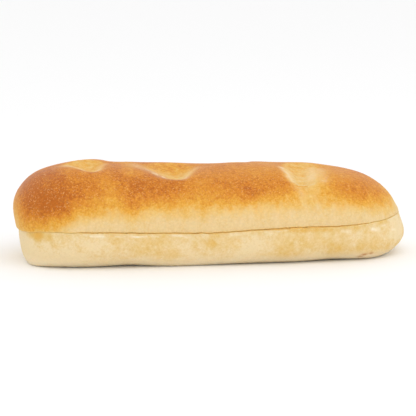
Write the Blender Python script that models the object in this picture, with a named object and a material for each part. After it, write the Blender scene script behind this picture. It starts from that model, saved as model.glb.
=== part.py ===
"""A potato focaccia roll, cut through lengthways into a crown and a base.

Metres, +Z up. The roll lies along X with its front towards -Y, and it stands on z = 0.
Each half is one loft of closed loops set along the roll: over the crust from the front lip
to the back lip, and back across the cut face. The loops shrink to a point at both ends.
"""

from collections import namedtuple

import bmesh
import bpy
import numpy as np

MM = 0.001

# The roll at the cut. Its ends swell past this, and the middle of its whole length is at X = 0.
LENGTH = 197.8 * MM
WIDTH = 76.0 * MM
CENTRE_X = 0.9 * MM

# Roundness of the ends, as the two powers of a superellipse: seen from above, then from the side
PLAN = {"left": (7.9, 2.70), "right": (5.1, 2.11)}
CROWN_RISE = {"left": (8.6, 2.95), "right": (5.2, 1.82)}
BASE_DROP = {"left": (30.0, 3.4), "right": (11.5, 2.9)}

# Roundness of the cross section: across, then up or down
CROWN_SECTION = (2.6, 2.4)
BASE_SECTION = (5.0, 3.6)

# The crown's top line, and the rise over its left part
CROWN_TOP = 47.5 * MM
CROWN_SLOPE = -0.011
HUMP_RISE = 2.2 * MM
HUMP_AT = -67.0 * MM
HUMP_HALF = 21.0 * MM

# The cut: its height, its dip a little left of the middle, its rise to the right and its tips
CUT_HEIGHT = 19.6 * MM
CUT_DIP = 1.6 * MM
CUT_DIP_AT = -6.0 * MM
CUT_DIP_LEFT = 40.0 * MM
CUT_DIP_RIGHT = 28.0 * MM
CUT_RISE = 1.0 * MM
CUT_RISE_FROM = 60.0 * MM
CUT_RISE_RUN = 30.0 * MM
CUT_TIP_RUN = 12.0 * MM
CUT_TIP_RIGHT = 1.3 * MM
CUT_TIP_LEFT = -1.6 * MM

# The gap between the two cut faces, and the place at the front where the lips part
GAP = 0.35 * MM
PARTING = 0.55 * MM
PARTING_AT = 42.0 * MM
PARTING_HALF = 12.0 * MM
PARTING_DEPTH = 22.0 * MM

# The crown's lip turns in a little
LIP_ROLL = 0.5 * MM
LIP_HEIGHT = 1.3 * MM

# Height over which the gap between the halves fades into their crusts
LIP_BLEND = 5.0 * MM

# The crown bulges out on the left, the base swells out on the right, where the crown's lip flares
# out to meet it, and the base's left foot is drawn in
BULGE = 3.1 * MM
BULGE_Z = 29.3 * MM
BULGE_HALF = 11.9 * MM
SWELL = 5.9 * MM
SWELL_Z = 8.2 * MM
SWELL_HALF = 11.8 * MM
SWELL_POWER = 4.8
FLARE = 1.5 * MM
FLARE_HALF = 3.6 * MM
LEAN = 0.9 * MM
LEAN_HEIGHT = 18.0 * MM
LEFT_POWER = 8.0

# Sine of the steepest angle that counts as the side, where the underside lifts off the tray
FOOT_MOST = 0.93

# How far the rounded underside is pressed flat by the baking tray, which sets the foot's edge
SINK = 1.2 * MM
SINK_WAVES = (
    # place along the roll, half width, change
    (-96.0 * MM, 8.0 * MM, 1.0 * MM),
    (-44.0 * MM, 12.0 * MM, -0.8 * MM),
    (-15.0 * MM, 16.0 * MM, 1.0 * MM),
    (60.0 * MM, 12.0 * MM, -0.8 * MM),
    (85.0 * MM, 10.0 * MM, 0.9 * MM),
)

# Finger dimples. Each is a trough pressed straight down, from an outer end on the crown's
# shoulder to an inner end near its top line. In millimetres: both ends, the half widths of the
# wall towards -X and of the wall towards +X at the outer and at the inner end, and the depth.
# The last two are the parts of its length over which it sinks in at the outer and inner end.
Dimple = namedtuple("Dimple", "outer inner left right depth outer_run inner_run")
DIMPLES = (
    Dimple((-60.0, -20.0), (-66.0, 11.0), (5.0, 11.0), (4.0, 10.0), 3.6, 0.35, 0.50),
    Dimple((-17.5, -26.0), (-19.0, 9.0), (11.0, 15.0), (4.5, 12.0), 4.2, 0.30, 0.50),
    Dimple((44.0, -32.0), (47.5, 9.0), (5.5, 7.5), (7.0, 11.0), 5.0, 0.28, 0.60),
    Dimple((-48.0, 29.0), (-37.0, 11.0), (6.0, 12.0), (6.0, 6.0), 3.6, 0.40, 0.60),
    Dimple((14.0, 31.0), (16.0, 4.0), (7.0, 10.0), (6.0, 6.0), 4.0, 0.40, 0.60),
    Dimple((70.0, 27.0), (74.0, 9.0), (7.0, 10.0), (7.0, 8.0), 2.6, 0.40, 0.70),
)

# Below the right dimple the front side is drawn in
VALLEY = 0.9 * MM
VALLEY_AT = 52.0 * MM
VALLEY_HALF = 7.0 * MM
VALLEY_Z = 33.0 * MM
VALLEY_Z_HALF = 7.0 * MM

# Unevenness of the dough, as a sum of slow waves
LUMPS = (
    # size, waves per metre along X, Y and Z, phase
    (0.30 * MM, (95.0, 60.0, 80.0), 1.3),
    (0.22 * MM, (170.0, -90.0, 40.0), 4.1),
    (0.16 * MM, (60.0, 210.0, -150.0), 2.2),
)

# Fineness of the meshes
CROWN_LOOPS = 74
CROWN_ROWS = 36
BASE_LOOPS = 60
SIDE_ROWS = 9
SOLE_ROWS = 7
FACE_ROWS = 8

# Fineness of the curves that even spacing is measured on, and their crowding at the roll's tips
FINE_STEPS = 20001
TIP_CROWDING = 4

GOLDEN = (0.66, 0.32, 0.09, 1.0)
CREAM = (0.82, 0.64, 0.36, 1.0)


def clear_scene():
    """Remove every object of the open file."""
    for thing in list(bpy.data.objects):
        bpy.data.objects.remove(thing, do_unlink=True)


def smooth(t):
    """Smooth step from 0 to 1."""
    t = np.clip(t, 0.0, 1.0)
    return t * t * (3.0 - 2.0 * t)


def bell(x, centre, half):
    """Bell of height 1 round a centre."""
    return np.exp(-(((x - centre) / half) ** 2))


def share(t, ends):
    """Superellipse share of the full size, t from -1 at the left tip to 1 at the right tip."""
    along = np.where(t < 0.0, ends["left"][0], ends["right"][0])
    across = np.where(t < 0.0, ends["left"][1], ends["right"][1])
    return np.maximum(0.0, 1.0 - np.abs(t) ** along) ** (1.0 / across)


def even_steps(count, x, y, value):
    """Values at places spaced evenly along the curve through x and y, both ends included."""
    length = np.concatenate([[0.0], np.cumsum(np.hypot(np.diff(x), np.diff(y)))])
    return np.interp(np.linspace(0.0, length[-1], count), length, value)


def stations(count):
    """Places of the loops, spaced evenly along the outline as seen from above, tips included."""
    u = np.linspace(-1.0, 1.0, FINE_STEPS)
    t = np.sign(u) * (1.0 - (1.0 - np.abs(u)) ** TIP_CROWDING)
    return even_steps(count, t * LENGTH / 2, share(t, PLAN) * WIDTH / 2, t)


def cut_height(x):
    """Height of the middle of the gap between the halves."""
    side = np.where(x < CUT_DIP_AT, CUT_DIP_LEFT, CUT_DIP_RIGHT)
    height = CUT_HEIGHT - CUT_DIP * bell(x, CUT_DIP_AT, side)
    height = height + CUT_RISE * smooth((x - CUT_RISE_FROM) / CUT_RISE_RUN)
    tip = LENGTH / 2 - CUT_TIP_RUN
    height = height + CUT_TIP_RIGHT * smooth((x - tip) / CUT_TIP_RUN)
    return height + CUT_TIP_LEFT * smooth((-tip - x) / CUT_TIP_RUN)


def half_gap(x, y):
    """Half of the gap between the cut faces, wider where the front lips part."""
    front = smooth((-y - (WIDTH / 2 - PARTING_DEPTH)) / PARTING_DEPTH)
    return GAP / 2 + PARTING / 2 * bell(x, PARTING_AT, PARTING_HALF) * front


def crown_top(x):
    """Height of the crown's top line before the dimples."""
    return CROWN_TOP + CROWN_SLOPE * x + HUMP_RISE * bell(x, HUMP_AT, HUMP_HALF)


def dimple_depth(x, y, dimple):
    """Depth of one finger dimple."""
    start = np.array(dimple.outer) * MM
    run = np.array(dimple.inner) * MM - start
    length = np.hypot(run[0], run[1])
    along = ((x - start[0]) * run[0] + (y - start[1]) * run[1]) / length**2
    across = ((x - start[0]) * run[1] - (y - start[1]) * run[0]) / length * np.sign(run[1])
    widen = smooth(along)
    left = (dimple.left[0] + (dimple.left[1] - dimple.left[0]) * widen) * MM
    right = (dimple.right[0] + (dimple.right[1] - dimple.right[0]) * widen) * MM
    walls = bell(across, 0.0, np.where(across < 0.0, left, right))
    ends = smooth(along / dimple.outer_run) * smooth((1.0 - along) / dimple.inner_run)
    return dimple.depth * MM * walls * ends


def lumps(x, y, z):
    """Slow unevenness of the dough."""
    total = np.zeros_like(x)
    for size, waves, phase in LUMPS:
        total = total + size * np.sin(waves[0] * x + waves[1] * y + waves[2] * z + phase)
    return total


def spaced_angles(count, section, height, last):
    """Angles from the front lip to a last one, even in length on a middle section."""
    angle = np.linspace(0.0, last, FINE_STEPS)
    across, up = section_point(angle, section)
    return even_steps(count, across * WIDTH / 2, up * height, angle)


def section_point(angle, section):
    """Share of the half width, negative at the front, and of the height at an angle."""
    c = np.cos(angle)
    s = np.abs(np.sin(angle))
    return -np.sign(c) * np.abs(c) ** (2.0 / section[0]), s ** (2.0 / section[1])


def crown_crust():
    """Points of the crown's crust: one row of points from lip to lip for each station."""
    t = stations(CROWN_LOOPS + 2)[:, None]
    x = LENGTH / 2 * t
    lip = cut_height(x)
    rise = (crown_top(x) - lip) * share(t, CROWN_RISE)
    angles = spaced_angles(CROWN_ROWS, CROWN_SECTION, CROWN_TOP - CUT_HEIGHT, np.pi)
    across, up = section_point(angles[None, :], CROWN_SECTION)
    y = WIDTH / 2 * share(t, PLAN) * across
    z = lip + rise * up
    x = x - BULGE * np.maximum(0.0, -t) ** LEFT_POWER * bell(z, BULGE_Z, BULGE_HALF)
    x = x + FLARE * np.maximum(0.0, t) ** SWELL_POWER * bell(z - lip, 0.0, FLARE_HALF)
    y = y * (1.0 - LIP_ROLL / (WIDTH / 2) * bell(z - lip, 0.0, LIP_HEIGHT))
    draw_in = VALLEY * bell(x, VALLEY_AT, VALLEY_HALF) * bell(z, VALLEY_Z, VALLEY_Z_HALF)
    y = y + draw_in * (y < 0.0)
    uneven = lumps(x, y, z)
    y = y + uneven * across
    z = z + uneven * up
    near_lip = 1.0 - smooth((z - lip) / LIP_BLEND)
    for dimple in DIMPLES:
        z = z - dimple_depth(x, y, dimple) * (1.0 - near_lip)
    z = z + (cut_height(x) + half_gap(x, y) - lip) * near_lip
    return np.stack([x, y, z], axis=-1)


def sink(x):
    """How far the underside's rounded form is pressed flat."""
    total = np.full_like(x, SINK)
    for place, half, change in SINK_WAVES:
        total = total + change * bell(x, place, half)
    return total


def base_crust():
    """Points of the base's crust: front lip, foot, sole, foot and back lip for each station."""
    t = stations(BASE_LOOPS + 2)[:, None]
    x = LENGTH / 2 * t
    lip = cut_height(x)
    drop = (lip + sink(x)) * share(t, BASE_DROP)
    across, down = section_point(base_angles(lip, drop), BASE_SECTION)
    y = WIDTH / 2 * share(t, PLAN) * across
    z = np.maximum(0.0, lip - drop * down)
    x = x + SWELL * np.maximum(0.0, t) ** SWELL_POWER * bell(z, SWELL_Z, SWELL_HALF)
    x = x + LEAN * np.maximum(0.0, -t) ** LEFT_POWER * np.maximum(0.0, 1.0 - z / LEAN_HEIGHT)
    y = y + lumps(x, y, z) * across
    near_lip = 1.0 - smooth((lip - z) / LIP_BLEND)
    z = z + (cut_height(x) - half_gap(x, y) - lip) * near_lip
    return np.stack([x, y, z], axis=-1)


def base_angles(lip, drop):
    """Angles of the base's rows: a side, the sole between the two edges of the foot, a side."""
    touching = lip / np.maximum(drop, lip)
    foot = np.arcsin(np.minimum(FOOT_MOST, touching ** (BASE_SECTION[1] / 2)))
    usual = spaced_angles(SIDE_ROWS, BASE_SECTION, CUT_HEIGHT, foot[len(foot) // 2, 0])
    side = foot * (usual / usual[-1])[None, :]
    edge = np.cos(foot) ** (2.0 / BASE_SECTION[0])
    inner = np.linspace(1.0, -1.0, SOLE_ROWS + 2)[None, 1:-1]
    sole = np.arccos(np.sign(inner) * np.abs(edge * inner) ** (BASE_SECTION[0] / 2))
    return np.concatenate([side, sole, np.pi - side[:, ::-1]], axis=1)


def close_loops(crust, side):
    """Add the rows of the cut face, from the back lip to the front lip, to each loop."""
    front = crust[:, :1]
    back = crust[:, -1:]
    part = np.linspace(0.0, 1.0, FACE_ROWS + 2)[None, 1:-1, None]
    face = back + (front - back) * part
    x = face[..., 0]
    face[..., 2] = cut_height(x) + side * half_gap(x, face[..., 1])
    return np.concatenate([crust, face], axis=1)


def loft(name, loops):
    """One closed mesh through the loops, whose first and last are points."""
    mesh = bmesh.new()
    rings = [[mesh.verts.new(point) for point in loop] for loop in loops[1:-1]]
    tips = [mesh.verts.new(loops[0].mean(axis=0)), mesh.verts.new(loops[-1].mean(axis=0))]
    count = len(rings[0])
    for ring, following in zip(rings, rings[1:]):
        for i in range(count):
            j = (i + 1) % count
            mesh.faces.new((ring[i], ring[j], following[j], following[i]))
    for tip, ring in zip(tips, (rings[0], rings[-1])):
        for i in range(count):
            mesh.faces.new((tip, ring[i], ring[(i + 1) % count]))
    bmesh.ops.recalc_face_normals(mesh, faces=mesh.faces)
    data = bpy.data.meshes.new(name)
    mesh.to_mesh(data)
    mesh.free()
    data.shade_smooth()
    return data


def crust_material(name, colour):
    """Baked crust of one plain colour."""
    material = bpy.data.materials.new(name)
    material.use_nodes = True
    shader = material.node_tree.nodes["Principled BSDF"]
    shader.inputs["Base Color"].default_value = colour
    shader.inputs["Roughness"].default_value = 0.6
    shader.inputs["Metallic"].default_value = 0.0
    material.diffuse_color = colour
    return material


def add_half(name, loops, colour):
    """Put one half of the roll into the scene."""
    data = loft(name, loops - np.array([CENTRE_X, 0.0, 0.0]))
    data.materials.append(crust_material(name + "_crust", colour))
    half = bpy.data.objects.new(name, data)
    bpy.context.scene.collection.objects.link(half)
    return half


def main():
    clear_scene()
    add_half("base", close_loops(base_crust(), -1.0), CREAM)
    add_half("crown", close_loops(crown_crust(), 1.0), GOLDEN)


main()
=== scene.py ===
"""Baked crust, finger dimples, crumb and studio for a potato focaccia roll cut through lengthways.

Metres, +Z up. The roll lies along X with its front towards -Y, and it stands on z = 0.
"""

import math
from collections import namedtuple

import bpy
import numpy as np
from mathutils import Matrix, Vector


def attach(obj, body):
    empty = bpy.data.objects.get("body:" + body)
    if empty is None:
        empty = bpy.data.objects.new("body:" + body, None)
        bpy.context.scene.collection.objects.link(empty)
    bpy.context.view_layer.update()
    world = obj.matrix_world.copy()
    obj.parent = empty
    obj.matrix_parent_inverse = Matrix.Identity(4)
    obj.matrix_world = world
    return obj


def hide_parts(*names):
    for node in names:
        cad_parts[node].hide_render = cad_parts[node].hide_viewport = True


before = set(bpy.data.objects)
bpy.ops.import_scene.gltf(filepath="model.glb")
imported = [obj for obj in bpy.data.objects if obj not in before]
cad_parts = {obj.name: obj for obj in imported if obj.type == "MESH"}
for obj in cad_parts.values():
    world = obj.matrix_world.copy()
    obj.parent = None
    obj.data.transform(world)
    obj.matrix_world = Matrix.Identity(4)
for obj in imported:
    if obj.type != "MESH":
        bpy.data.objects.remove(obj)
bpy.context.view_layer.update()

bl_info = {
    "name": "Potato Focaccia Roll",
    "version": (1, 0, 0),
    "blender": (4, 5, 0),
    "location": "3D View > Sidebar > Focaccia",
    "description": "Gives the two solid halves of a potato focaccia roll their baked crust",
    "category": "Add Mesh",
}

MM = 0.001

# The roll's middle lies this far along the axis that the shapes below are measured on
CENTRE_X = 0.9 * MM

# Roundness of the ends, as the two powers of a superellipse: seen from above, then from the side
PLAN = {"left": (7.9, 2.70), "right": (5.1, 2.11)}
CROWN_RISE = {"left": (8.6, 2.95), "right": (5.2, 1.82)}
BASE_DROP = {"left": (30.0, 3.4), "right": (11.5, 2.9)}

# Roundness of the cross section: across, then up or down
CROWN_SECTION = (2.6, 2.4)
BASE_SECTION = (5.0, 3.6)

# The crown's top line, and the rise over its left part
CROWN_SLOPE = -0.011
HUMP_RISE = 2.2 * MM
HUMP_AT = -67.0 * MM
HUMP_HALF = 21.0 * MM

# The cut: its dip a little left of the middle, its rise to the right and its tips
CUT_DIP = 1.6 * MM
CUT_DIP_AT = -6.0 * MM
CUT_DIP_LEFT = 40.0 * MM
CUT_DIP_RIGHT = 28.0 * MM
CUT_RISE = 1.0 * MM
CUT_RISE_FROM = 60.0 * MM
CUT_RISE_RUN = 30.0 * MM
CUT_TIP_RUN = 12.0 * MM
CUT_TIP_RIGHT = 1.3 * MM
CUT_TIP_LEFT = -1.6 * MM

# The place at the front where the lips part
PARTING = 0.55 * MM
PARTING_AT = 42.0 * MM
PARTING_HALF = 12.0 * MM
PARTING_DEPTH = 22.0 * MM

# How far the gap is shut: the shares by which it and the parting close inside the rim, by which it
# closes at both ends and where along the roll, the least share that stays open, the place where
# the lips stick together, and how unevenly the halves are pressed together
GAP_CLOSED = 0.90
PARTING_CLOSED = 0.95
GAP_SHUT = 0.94
GAP_SHUT_RUN = (64.0 * MM, 86.0 * MM)
GAP_LEAST = 0.05
STUCK = 1.3
STUCK_AT = -74.0 * MM
STUCK_HALF = 4.5 * MM
GAP_PRESSED = 0.5

# Rim of the cut faces over which the gap closes, and the share of the height where crust starts
RIM = (0.05 * MM, 0.7 * MM)
CRUST_FROM = 0.02

# The knife's wavy line and its nicks, and how much shorter than across the roll the waves are
# along it
KNIFE_WOBBLE = 0.42 * MM
NICK = 0.16 * MM
KNIFE_STRETCH = 0.4

# The crown's lip turns in a little
LIP_ROLL = 0.36 * MM
LIP_HEIGHT = 1.3 * MM
LIP_BLEND = 5.0 * MM

# The crown bulges out on the left, the base swells out on the right, where the crown's lip flares
# out to meet it, and the base's left foot is drawn in
BULGE = 3.1 * MM
BULGE_Z = 29.3 * MM
BULGE_HALF = 11.9 * MM
SWELL = 5.9 * MM
SWELL_Z = 8.2 * MM
SWELL_HALF = 11.8 * MM
SWELL_POWER = 4.8
FLARE = 1.5 * MM
FLARE_HALF = 3.6 * MM
LEAN = 0.9 * MM
LEAN_HEIGHT = 18.0 * MM
LEFT_POWER = 8.0

# How far the rounded underside is pressed flat: place along the roll, half width, change
SINK = 1.2 * MM
SINK_WAVES = (
    (-96.0 * MM, 8.0 * MM, 1.0 * MM),
    (-44.0 * MM, 12.0 * MM, -0.8 * MM),
    (-15.0 * MM, 16.0 * MM, 1.0 * MM),
    (60.0 * MM, 12.0 * MM, -0.8 * MM),
    (85.0 * MM, 10.0 * MM, 0.9 * MM),
)
FOOT_ROUNDING = 0.3 * MM

# Finger dimples. In millimetres: outer end, inner end, half widths of the wall towards -X and
# towards +X at the outer and at the inner end, and depth. Then the parts of the length over
# which it sinks in at both ends, where its pale colour starts and how far that start slants, how
# brown its floor is at both ends, and how strong the pale line along its -X wall is, which is dry
# dough and partly a painted highlight along the rim.
Dimple = namedtuple("Dimple", "outer inner left right depth runs pale brown line")
DIMPLES = (
    Dimple((-60.0, -20.0), (-66.0, 11.0), (5.0, 11.0), (4.0, 10.0), 3.6,
           (0.35, 0.50), (0.02, 0.15), (0.44, 0.40), 0.0),
    Dimple((-17.5, -26.0), (-19.0, 9.0), (11.0, 15.0), (4.5, 12.0), 4.2,
           (0.30, 0.50), (0.08, 0.58), (0.33, 0.62), 0.0),
    Dimple((44.0, -32.0), (47.5, 9.0), (5.5, 7.5), (7.0, 11.0), 5.0,
           (0.28, 0.60), (0.0, 0.0), (0.20, 0.40), 0.0),
    Dimple((-48.0, 29.0), (-37.0, 11.0), (6.0, 12.0), (6.0, 6.0), 3.6,
           (0.40, 0.60), (0.0, 0.0), (0.34, 0.5), 0.6),
    Dimple((14.0, 31.0), (16.0, 4.0), (7.0, 10.0), (6.0, 6.0), 4.0,
           (0.40, 0.60), (0.0, 0.3), (0.26, 0.45), 0.8),
    Dimple((70.0, 27.0), (74.0, 9.0), (7.0, 10.0), (7.0, 8.0), 2.6,
           (0.40, 0.70), (0.0, -0.2), (0.40, 0.5), 0.5),
)

# Parts of a dimple's length between which its pale colour fades out at its inner end, how round
# that end is, between which strengths the colour comes up and how far that edge wanders, where
# the floor's browning changes, and the place of the pale line, dry dough and partly a painted
# rim highlight, across and along the wall
DIMPLE_REACH = (1.15, 0.75)
DIMPLE_ROUND = 0.14
DIMPLE_EDGE = (0.04, 0.46)
DIMPLE_WANDER = 0.10
FLOOR_RUN = (0.25, 0.9)
WALL_AT = -0.85
WALL_HALF = 0.28
WALL_START = (0.05, 0.3)
WALL_END = (0.95, 0.6)

# Pale marks on the dimples' rims: dry, stretched dough, partly a painted highlight along the
# rim. In millimetres: both ends, seen from above, and the half width, then the strength
STRETCH_AND_HIGHLIGHT_MARKS = (
    ((-75.0, -1.0), (-66.5, -9.0), 2.8, 0.60),
    ((-66.0, -9.5), (-62.5, -12.0), 2.2, 0.75),
    ((-61.5, -13.0), (-57.5, -12.0), 2.4, 0.80),
    ((-58.0, -10.5), (-54.0, -1.0), 1.9, 0.35),
    ((-38.5, 0.0), (-33.5, -11.0), 3.0, 0.50),
    ((-33.0, -11.5), (-24.5, -18.6), 2.8, 0.80),
    ((-23.5, -19.2), (-16.5, -21.0), 2.3, 0.62),
    ((-14.8, -20.5), (-10.5, -11.0), 2.2, 0.48),
    ((-10.0, -9.5), (-6.0, -3.0), 1.9, 0.35),
    ((37.2, -9.0), (39.6, -23.5), 2.1, 0.80),
    ((41.5, -28.5), (43.5, -32.5), 2.0, 0.28),
    ((53.5, -4.0), (51.0, -20.0), 2.6, 0.55),
    ((57.5, -6.0), (56.5, -24.0), 2.6, 0.40),
)

# How ragged the marks are: the mean, and weights of small and spotty noise
RAGGED_MEAN = 0.95
RAGGED = (1.1, 1.3)

# The short crease at the right dimple's outer end: both ends seen from above and the half width in
# millimetres, then how much darker it is drawn, as painted shade in the crease, and how deep it is
CREASE = ((42.0, -27.9), (47.0, -27.2), 0.45)
CREASE_SHADE = 0.45
CREASE_DEPTH = 0.8 * MM

# Below the right dimple the front side is drawn in
VALLEY = 0.9 * MM
VALLEY_AT = 52.0 * MM
VALLEY_HALF = 7.0 * MM
VALLEY_Z = 33.0 * MM
VALLEY_Z_HALF = 7.0 * MM

# Unevenness of the dough: size, waves per metre along X, Y and Z, phase
LUMPS = (
    (0.30 * MM, (95.0, 60.0, 80.0), 1.3),
    (0.22 * MM, (170.0, -90.0, 40.0), 4.1),
    (0.16 * MM, (60.0, 210.0, -150.0), 2.2),
)

# Fineness of the meshes
LOOPS = 372
CRUST_ROWS = 206
FACE_ROWS = 56
LIP_CROWDING = 0.4
FACE_CROWDING = 0.85
TIP_CROWDING = 4
FINE_STEPS = 20001
CREASE_ANGLE = math.radians(50.0)

# Browning: height over the cut at which the crust is half brown, and where along the roll that
# height drops: from, to, by how much
BROWN_TOP = 0.86
HALF_BROWN = 14.2 * MM
BROWN_BELOW = 11.0 * MM
BROWN_ABOVE = 9.5 * MM
BROWN_DROPS = (
    (-58.0 * MM, -90.0 * MM, 13.0 * MM),
    (66.0 * MM, 92.0 * MM, 5.5 * MM),
)

# Uneven browning: weights of streaks, drips and small noise, which change that height, and how
# narrow the streaks and the drips are for their length. Then weights of clouds and of broad noise
# and where they come in, and weights of small and spotty noise in the dimples.
BROWN_UNEVEN = (3.0 * MM, 1.5 * MM, 1.6 * MM)
STREAK_STRETCH = 0.22
DRIP_STRETCH = 0.2
CLOUDY = 0.12
CLOUDY_RUN = (-4.0 * MM, 8.0 * MM)
TOP_UNEVEN = 0.36
TOP_RUN = (-14.0 * MM, 4.0 * MM)
HOLLOW_UNEVEN = (0.28, 0.34)

# Patches on the front and on the back: place along the roll, height over the cut, half sizes,
# change of browning. Then where the back starts.
FRONT_PATCHES = (
    (-84.0, 15.0, 8.0, 7.0, 0.20),
    (-80.0, 26.5, 6.0, 2.5, 0.12),
    (-48.0, 27.0, 4.0, 3.0, 0.11),
    (-104.0, 8.0, 6.0, 9.0, -0.45),
    (-93.0, 20.0, 7.0, 8.0, 0.16),
    (-62.0, 10.0, 9.0, 4.5, 0.24),
    (-74.0, 28.5, 6.0, 3.0, -0.12),
    (-54.0, 24.0, 5.0, 8.0, -0.10),
    (-42.0, 12.0, 6.0, 7.0, 0.26),
    (-40.0, 23.0, 4.5, 5.0, 0.12),
    (-41.0, 28.5, 6.0, 2.5, -0.20),
    (-29.0, 18.0, 7.0, 4.0, 0.12),
    (-16.0, 9.0, 4.0, 3.0, 0.12),
    (-8.0, 23.0, 6.0, 5.0, -0.12),
    (16.0, 18.5, 4.5, 4.0, 0.22),
    (24.0, 27.0, 20.0, 5.0, -0.13),
    (49.0, 22.0, 8.0, 6.5, -0.56),
    (66.0, 10.0, 8.0, 6.0, 0.08),
    (72.0, 15.0, 7.0, 5.0, 0.16),
    (74.0, 22.0, 9.0, 4.0, -0.10),
    (61.0, 25.0, 6.0, 6.0, -0.13),
    (80.0, 10.0, 8.0, 4.0, 0.12),
    (76.0, 28.0, 14.0, 5.0, -0.16),
    (100.0, 24.0, 12.0, 9.0, -0.60),
)
BACK_PATCHES = (
    (-84.0, 14.0, 10.0, 7.0, 0.16),
    (-58.0, 19.0, 8.0, 7.0, -0.14),
    (-24.0, 11.0, 9.0, 5.0, 0.16),
    (2.0, 20.0, 8.0, 6.0, 0.10),
    (30.0, 13.0, 7.0, 6.0, 0.18),
    (52.0, 22.0, 8.0, 6.0, -0.22),
    (74.0, 13.0, 9.0, 5.0, 0.12),
    (98.0, 22.0, 10.0, 9.0, -0.40),
)
BACK_RUN = (2.0 * MM, 14.0 * MM)

# Spots on the front of the base: place along the roll, height, half sizes, change from cream (-)
# to yellow (+). The long flat one just under the cut at 46 mm is painted shade under the crown's
# parted lip.
BASE_SPOTS_AND_LIP_SHADE = (
    (-90.5, 17.2, 4.0, 3.0, 1.35),
    # Painted shade under the crown's lip where the lips part
    (46.0, 18.3, 22.0, 1.3, 0.7),
    (-3.0, 12.8, 10.0, 3.6, 0.45),
    (1.0, 6.0, 9.0, 3.0, -0.40),
    (-42.0, 11.0, 14.0, 4.0, 0.15),
    (34.0, 6.0, 5.0, 4.0, 0.25),
    (48.0, 14.0, 14.0, 4.0, 0.30),
    (62.0, 9.0, 8.0, 4.0, 0.45),
    (80.0, 8.0, 9.0, 4.0, 0.45),
    (-84.0, 5.0, 16.0, 7.0, -0.7),
    (-99.0, 10.0, 7.0, 12.0, -1.0),
    (-70.0, 13.0, 9.0, 5.0, -0.3),
    (14.0, 8.0, 10.0, 6.0, -0.3),
    (96.0, 14.0, 8.0, 7.0, -0.4),
)

# Torn, whitish lip under the cut at the front, partly a painted highlight where the lip's edge
# catches the light. In millimetres: both ends along X and Z, half width, strength
TORN_HIGHLIT_MARKS = (
    ((-64.0, 17.8), (-57.5, 17.5), 0.55, 0.9),
    ((-52.0, 17.4), (-48.5, 17.2), 0.30, 0.4),
    ((-43.5, 17.3), (-40.0, 16.9), 0.45, 0.9),
    ((-39.5, 17.0), (-36.0, 17.1), 0.35, 0.8),
    ((-34.0, 17.1), (-30.0, 16.7), 0.30, 0.5),
    ((-22.5, 17.2), (-18.0, 16.8), 0.50, 0.8),
    ((-17.5, 16.7), (-15.5, 16.0), 0.40, 0.6),
    ((8.0, 17.1), (12.0, 16.8), 0.35, 0.4),
    ((24.0, 18.0), (27.5, 17.0), 0.50, 0.5),
    ((30.0, 18.0), (35.0, 18.3), 0.40, 0.4),
    ((64.0, 17.3), (68.0, 16.6), 0.90, 0.6),
    ((80.5, 17.0), (84.5, 16.2), 1.05, 0.9),
    ((86.0, 17.9), (88.5, 18.0), 0.40, 0.5),
    ((93.0, 15.0), (95.0, 14.4), 0.60, 0.5),
)

# How ragged the torn lip and its painted highlight are: the mean, and weights of small and
# nibbled noise. Then where the front starts.
TORN_HIGHLIT_RAGGED_MEAN = 1.0
TORN_HIGHLIT_RAGGED = (0.9, 1.1)
FRONT_RUN = (0.0, -8.0 * MM)

# Baked-on brown spots at the lower right edge: place along the roll, height, half sizes, strength
SCORCHED = (
    (77.0, 3.4, 1.6, 0.7, 1.0),
    (80.5, 3.9, 1.2, 0.6, 1.0),
    (75.0, 2.2, 1.5, 0.5, 1.0),
)

# Loose crumbs: how far under the cut they reach, how clustered they are, the smallest one's share
# of the largest, how far their middles are sunk in, how uneven they are, how finely they are made
CRUMB_REACH = (1.5 * MM, 0.2 * MM)
CRUMB_CLUSTERED = (-0.1, 0.5)
CRUMB_LEAST = 0.35
CRUMB_SUNK = 0.45
CRUMB_DENTS = 0.45
CRUMB_FINENESS = 2

# Floury rim over the foot, partly flour and partly painted light against the shade near the
# table: from and to this height. Browned underside: how far it is pressed flat where it is fully
# brown, how ragged its edge is, and how near the table it starts.
FLOUR_AND_LIGHT_RUN = (7.0 * MM, 0.5 * MM)
SOLE_FADE = 0.9 * MM
SOLE_RAGGED = 0.25 * MM
SOLE_RUN = (0.15 * MM, 0.03 * MM)

# Relief of the crust: weights of clouds, small noise and pimples on the crown, and of waves, small
# noise and pimples on the base, which is smooth just over the table
CROWN_RELIEF = (0.35, 0.3, 0.35)
BASE_RELIEF = (0.4, 0.3, 0.3)
RELIEF_RUN = 2.0 * MM

# Blisters: size, how far they are shifted about, their edge, how clustered they are, and how brown
# the crust is where they rise
BLISTER_SIZE = 2.6 * MM
BLISTER_STIR = 0.6 * MM
BLISTER_EDGE = (0.45, 0.1)
BLISTER_CLUSTERED = (0.0, 0.5)
BLISTER_BROWN = (0.2, 0.7)

# Noise in the shapes: size of its clouds, layers of detail, roughness
GAP_NOISE = (9.0 * MM, 2.0)
KNIFE_NOISE = (7.0 * MM, 2.0)
NICK_NOISE = (2.6 * MM, 1.0)
DIMPLE_NOISE = (6.0 * MM, 3.0, 0.6)
BROAD = (24.0 * MM, 3.0, 0.6)
CLOUDS = (17.0 * MM, 2.0)
WAVES = (12.0 * MM, 2.0)
SMALL = (5.0 * MM, 3.0)
STREAKS = (4.5 * MM, 3.0)
SPOTTY = (2.6 * MM, 3.0, 0.6)
DRIPS = (2.0 * MM, 2.0)
NIBBLED = (1.9 * MM, 3.0, 0.6)
PIMPLES = (1.8 * MM, 2.0)
BLISTER_CLUSTER = (6.0 * MM, 2.0)
CRUMB_CLUSTER = (7.0 * MM, 2.0)
DENTS = (0.35 * MM, 2.0)

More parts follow.
